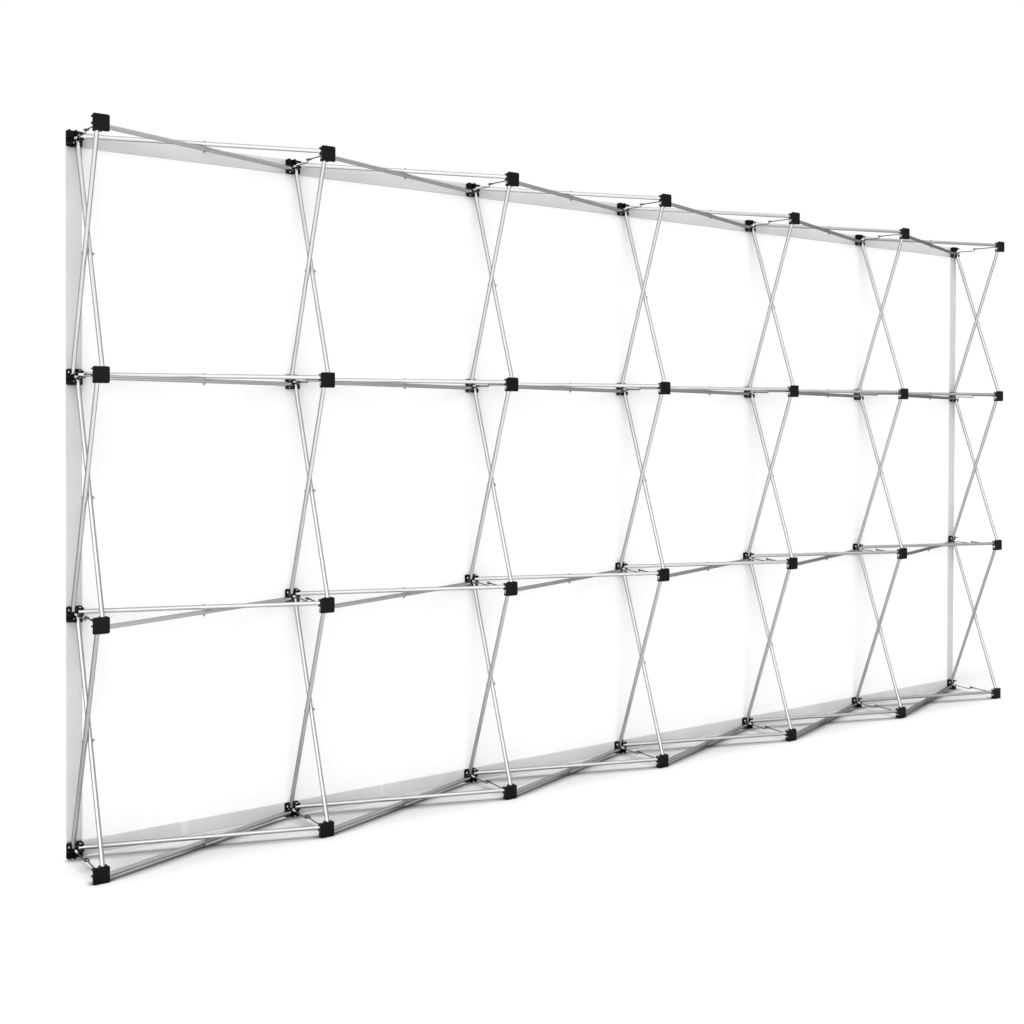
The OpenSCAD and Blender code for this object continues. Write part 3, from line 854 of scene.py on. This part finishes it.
class BANNERWALL_OT_pads(bpy.types.Operator):
    """Make the hook pads on the front hubs, with rounded edges."""

    bl_idname = "bannerwall.pads"
    bl_label = "Hook pads"

    def execute(self, context):
        sizes = context.scene.banner_wall_sizes
        top, foot, crown = PAD_LOW.y, PAD_HIGH.y, sizes.pad_crown
        bevel = 0.3 * crown
        rings = ((0.0, foot), (0.0, top + crown), (bevel, top + bevel), (crown, top))
        outlines = []
        for inset, y in rings:
            x, z = pad_outline(inset, sizes.pad_corner, 6)
            outlines.append(np.stack([x, y + 0 * x, z], axis=-1))
        one = np.stack(outlines)
        around = one.shape[1]
        foot_face = np.arange(around)[None, ::-1]
        top_face = np.arange(around)[None] + (len(rings) - 1) * around
        x, z = np.meshgrid(HUB_X, HUB_Z)
        centres = np.stack([x.ravel(), 0 * x.ravel(), z.ravel()], axis=-1)
        points = centres[:, None, :] + one.reshape(1, -1, 3)
        faces = [
            repeated(group, len(centres), one.shape[0] * around)
            for group in (grid_faces(len(rings), around, wrap=True), foot_face, top_face)]
        pads = mesh_object("hook_tape_pads", points, *faces, smooth=False)
        pads.data.materials.append(pad_material(context.scene.banner_wall_colours))
        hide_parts("hook_pads")
        ride_and_slot(pads)
        return {"FINISHED"}


class BANNERWALL_OT_cloth(bpy.types.Operator):
    """Stretch the white cloth over the front hubs."""

    bl_idname = "bannerwall.cloth"
    bl_label = "Banner cloth"

    def execute(self, context):
        sizes = context.scene.banner_wall_sizes
        columns, rows = 241, 123
        x, z = np.meshgrid(
            np.linspace(SHEET_LOW.x, SHEET_HIGH.x, columns), np.linspace(SHEET_LOW.z, SHEET_HIGH.z, rows))
        y = (SHEET_LOW.y + SHEET_HIGH.y) / 2 + cloth_relief(x, z, sizes)
        cloth = mesh_object("banner_cloth", np.stack([x, y, z], axis=-1), grid_faces(rows, columns))
        cloth.data.materials.append(cloth_material(context.scene.banner_wall_colours))
        thicken(cloth, SHEET_HIGH.y - SHEET_LOW.y)
        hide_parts("banner_sheet")
        ride_and_slot(cloth)
        return {"FINISHED"}


def background_rays(tree):
    """1 for the rays that should meet a white background: straight from the camera, or off metal or glass."""
    rays = tree.nodes.new("ShaderNodeLightPath").outputs
    mirrored = math_node(tree, "MAXIMUM", rays["Is Camera Ray"], rays["Is Glossy Ray"])
    return math_node(tree, "MAXIMUM", mirrored, rays["Is Transmission Ray"])


def open_share(tree, reach, depth, samples):
    """1 where nothing stands closer than the reach, and down to 0 where the wall shelters the spot."""
    shelter = add_node(tree, "ShaderNodeAmbientOcclusion", {"Distance": reach}, samples=samples)
    return math_node(tree, "POWER", shelter.outputs["AO"], depth)


def floor_material(colours, studio):
    """Pale floor that keeps the shadows: its own shade plus a lift that makes the open floor white.

    The lift is a painted light: a glow that grows with the distance from a rectangle that lies inside the
    wall's footprint, so that the floor round the wall, without it, shows a painted shade. Close under the
    tubes and hubs a painted shadow darkens the floor's colour and its lift, as far as they shelter it.
    That painted shadow fades out towards the cloth, past the back hubs and past the near end.
    """
    shade_reach, shade_depth = 0.04, 2.5
    wall_shade_inset, wall_shade_width = 0.17, 0.32
    cloth_fade, hub_fade, hub_overlap, end_fade = 0.04, 0.03, 0.02, 0.02
    material, tree, shader, position = finish_material(
        "Studio floor", {"Roughness": 1.0, "Specular IOR Level": 0.0})
    place = add_node(tree, "ShaderNodeSeparateXYZ", {0: position}).outputs
    # Painted shadow: the floor's colour is darkened where the tubes and hubs stand close over it
    dark = math_node(tree, "SUBTRACT", 1.0, open_share(tree, shade_reach, shade_depth, samples=12))
    for axis, whole, fade_width in (
        ("Y", SHEET_LOW.y + cloth_fade, -cloth_fade),
        ("Y", HUB_REACH.y - hub_overlap, hub_fade),
        ("X", HUB_REACH.x, end_fade),
    ):
        fade = smooth_ramp(tree, place[axis], whole + fade_width, whole)
        dark = math_node(tree, "MULTIPLY", dark, fade)
    contact = math_node(tree, "SUBTRACT", 1.0, dark)
    shade = math_node(tree, "MULTIPLY", cloudy(tree, position, 0.8, 0.995, 1.005), contact)
    fill_inputs(tree, shader, {"Base Color": tinted(tree, colours.floor, shade)})
    squares = []
    for axis, reach in (("X", HUB_REACH.x), ("Y", HUB_REACH.y)):
        beyond = math_node(tree, "SUBTRACT", math_node(tree, "ABSOLUTE", place[axis]), reach - wall_shade_inset)
        squares.append(math_node(tree, "POWER", math_node(tree, "MAXIMUM", beyond, 0.0), 2.0))
    distance = math_node(tree, "SQRT", math_node(tree, "ADD", *squares))
    # Painted light: the lift is a glow that is missing near the wall, which paints a shade round it
    open_floor = smooth_ramp(tree, distance, 0.0, wall_shade_width, studio.floor_lift)
    lift = add_node(tree, "ShaderNodeEmission", {
        "Strength": math_node(tree, "MULTIPLY", open_floor, contact)})
    seen = add_node(tree, "ShaderNodeAddShader", {0: shader.outputs[0], 1: lift.outputs[0]})
    mixed = add_node(tree, "ShaderNodeMixShader", {
        0: background_rays(tree), 1: shader.outputs[0], 2: seen.outputs[0]})
    fill_inputs(tree, tree.nodes["Material Output"], {"Surface": mixed.outputs[0]})
    return material


# The card on the cloth stands just clear of the bands
SCREEN_Y = BAND_HIGH.y + 0.0006
# Cards round the set, seen only in reflections: each has its brightness and its four corners
CARDS = {
    "right": (0.62, ((-9, -15, 0), (-9, 3, 0), (-9, 3, 9), (-9, -15, 9))),
    "middle": (0.5, ((-9, 3, 0), (-9, 6, 0), (-9, 6, 9), (-9, 3, 9))),
    "far": (0.55, ((-9, 6, 0), (-4, 25, 0), (-4, 25, 30), (-9, 6, 20))),
    "behind": (0.45, ((-9, -15, 0), (15, -15, 0), (15, -15, 14), (-9, -15, 14))),
    "above": (0.45, ((-15, -15, 9), (15, -15, 9), (15, -1, 9), (-15, -1, 9))),
    "overhead": (1.4, ((-6, -1, 9), (6, -1, 9), (6, 9, 9), (-6, 9, 9))),
    "front": (2.0, ((-4, 25, 0), (25, 25, 0), (25, 25, 24), (-4, 25, 24))),
    "left": (2.0, ((25, 0, 0), (25, 25, 0), (25, 25, 24), (25, 0, 24))),
    "end": (0.55, ((25, -15, 0), (25, 0, 0), (25, 0, 24), (25, -15, 24))),
    "cloth": (0.62, (
        (-2.2, SCREEN_Y, 0.03), (2.2, SCREEN_Y, 0.03), (2.2, SCREEN_Y, 2.22), (-2.2, SCREEN_Y, 2.22))),
}
# Cards on the floor: each has its brightness, its height and the x and y of its four corners
FLOOR_CARDS = {
    "below": (0.5, 0.003, ((-15, -15), (15, -15), (15, 0.25), (-15, 0.25))),
    "foot": (0.85, 0.004, ((-2.5, -0.137), (2.5, -0.137), (2.5, 0.25), (-2.5, 0.25))),
    "corner": (0.6, 0.003, ((-15, 0.25), (-1, 0.25), (-4, 25), (-15, 25))),
    "near": (0.9, 0.003, ((-1, 0.25), (25, 0.25), (25, 1), (-1.1, 1))),
    "floor": (1.5, 0.003, ((-1.1, 1), (25, 1), (25, 25), (-4, 25))),
}


def stage_face(name, corners, material):
    """One flat face of the stage between four corners."""
    piece = mesh_object(name, np.array(corners, float), np.array([[0, 1, 2, 3]]))
    piece.data.materials.append(material)
    return piece


def add_card(name, brightness, corners, sheltered):
    """A card that shines evenly; a sheltered one is darker where the wall stands close over it."""
    shelter_reach, shelter_depth = 0.12, 4.0
    name = f"studio_card_{name}"
    material = bpy.data.materials.new(name)
    material.use_nodes = True
    tree = material.node_tree
    strength = brightness
    if sheltered:
        lit = open_share(tree, shelter_reach, shelter_depth, samples=4)
        strength = math_node(tree, "MULTIPLY", lit, brightness)
    glow = add_node(tree, "ShaderNodeEmission", {"Strength": strength})
    fill_inputs(tree, tree.nodes["Material Output"], {"Surface": glow.outputs[0]})
    card = stage_face(name, corners, material)
    card.visible_camera = False
    card.visible_diffuse = False
    card.visible_shadow = False


def add_sky(scene, level):
    """An even sky for the light, which the camera and the metal see as white."""
    world = bpy.data.worlds.new("Studio")
    world.use_nodes = True
    scene.world = world
    tree = world.node_tree
    sky = tree.nodes["Background"]
    white = (1.0, 1.0, 1.0, 1.0)
    fill_inputs(tree, sky, {"Color": white, "Strength": level})
    background = add_node(tree, "ShaderNodeBackground", {"Color": white, "Strength": 1.0})
    mixed = add_node(tree, "ShaderNodeMixShader", {
        0: background_rays(tree), 1: sky.outputs[0], 2: background.outputs[0]})
    fill_inputs(tree, tree.nodes["World Output"], {"Surface": mixed.outputs[0]})


def add_lamp(scene, name, strength, spread, source):
    """A distant lamp that the metal doesn't mirror."""
    lamp = bpy.data.objects.new(name, bpy.data.lights.new(name, "SUN"))
    lamp.data.energy = strength
    lamp.data.angle = spread
    lamp.rotation_euler = source.to_track_quat("Z", "Y").to_euler()
    lamp.visible_glossy = False
    scene.collection.objects.link(lamp)
    return lamp


def add_camera(scene, studio):
    """The camera, level but for its tilt and roll, and shifted instead of tilted further."""
    camera = bpy.data.objects.new("Camera", bpy.data.cameras.new("Camera"))
    camera.data.sensor_width = 36.0
    camera.data.lens = studio.lens
    camera.data.shift_y = studio.camera_shift
    camera.data.clip_end = 4 * studio.floor_reach
    camera.location = studio.camera_place
    turn = Matrix.Rotation(studio.camera_turn, 3, "Z")
    tilt = Matrix.Rotation(math.pi / 2 + studio.camera_tilt, 3, "X")
    roll = Matrix.Rotation(studio.camera_roll, 3, "Z")
    camera.rotation_euler = (turn @ tilt @ roll).to_euler()
    scene.collection.objects.link(camera)
    scene.camera = camera


class BANNERWALL_OT_stage(bpy.types.Operator):
    """Set the floor, the background, the light and the camera."""

    bl_idname = "bannerwall.stage"
    bl_label = "Studio"

    def execute(self, context):
        scene = context.scene
        studio = scene.banner_wall_studio
        reach = studio.floor_reach
        corners = ((-reach, -reach, 0), (reach, -reach, 0), (reach, reach, 0), (-reach, reach, 0))
        floor = stage_face("studio_floor", corners, floor_material(scene.banner_wall_colours, studio))
        add_sky(scene, studio.sky_level)
        key = add_lamp(scene, "Key light", studio.key_strength, studio.key_spread, studio.key_from)
        add_lamp(scene, "Top light", studio.top_strength, studio.top_spread, studio.top_from)
        add_lamp(scene, "Face light", studio.face_strength, studio.face_spread, studio.face_from)
        # The key light leaves the floor out, so that only the other two draw shadows on it
        flagged = bpy.data.collections.new("Flagged from the key light")
        flagged.objects.link(floor)
        flagged.collection_objects[0].light_linking.link_state = "EXCLUDE"
        key.light_linking.receiver_collection = flagged
        for name, (brightness, corners) in CARDS.items():
            add_card(name, brightness, corners, sheltered=False)
        for name, (brightness, height, corners) in FLOOR_CARDS.items():
            add_card(name, brightness, [(x, y, height) for x, y in corners], sheltered=True)
        add_camera(scene, studio)
        scene.view_settings.view_transform = "Standard"
        return {"FINISHED"}


OPERATORS = (
    BANNERWALL_OT_hubs,
    BANNERWALL_OT_tubes,
    BANNERWALL_OT_tips,
    BANNERWALL_OT_fixings,
    BANNERWALL_OT_lock_arms,
    BANNERWALL_OT_pads,
    BANNERWALL_OT_bands,
    BANNERWALL_OT_threads,
    BANNERWALL_OT_cloth,
    BANNERWALL_OT_stage,
)


class BANNERWALL_PT_sidebar(bpy.types.Panel):
    """Sizes, colours and steps of the banner wall."""

    bl_idname = "BANNERWALL_PT_sidebar"
    bl_label = "Banner Wall"
    bl_space_type = "VIEW_3D"
    bl_region_type = "UI"
    bl_category = "Banner Wall"

    def draw(self, context):
        for group in ("banner_wall_sizes", "banner_wall_colours", "banner_wall_studio"):
            box = self.layout.box()
            settings = getattr(context.scene, group)
            for name in settings.bl_rna.properties.keys():
                if name not in ("rna_type", "name"):
                    box.prop(settings, name)
        for operator in OPERATORS:
            self.layout.operator(operator.bl_idname)


SETTINGS = {
    "banner_wall_sizes": BannerWallSizes,
    "banner_wall_colours": BannerWallColours,
    "banner_wall_studio": BannerWallStudio,
}


def register():
    for name, group in SETTINGS.items():
        bpy.utils.register_class(group)
        setattr(bpy.types.Scene, name, PointerProperty(type=group))
    for cls in (*OPERATORS, BANNERWALL_PT_sidebar):
        bpy.utils.register_class(cls)


def unregister():
    for cls in (BANNERWALL_PT_sidebar, *reversed(OPERATORS)):
        bpy.utils.unregister_class(cls)
    for name, group in SETTINGS.items():
        delattr(bpy.types.Scene, name)
        bpy.utils.unregister_class(group)


def main():
    """Makes every piece in order."""
    register()
    for operator in OPERATORS:
        family, step = operator.bl_idname.split(".")
        getattr(getattr(bpy.ops, family), step)()


if __name__ == "__main__":
    main()
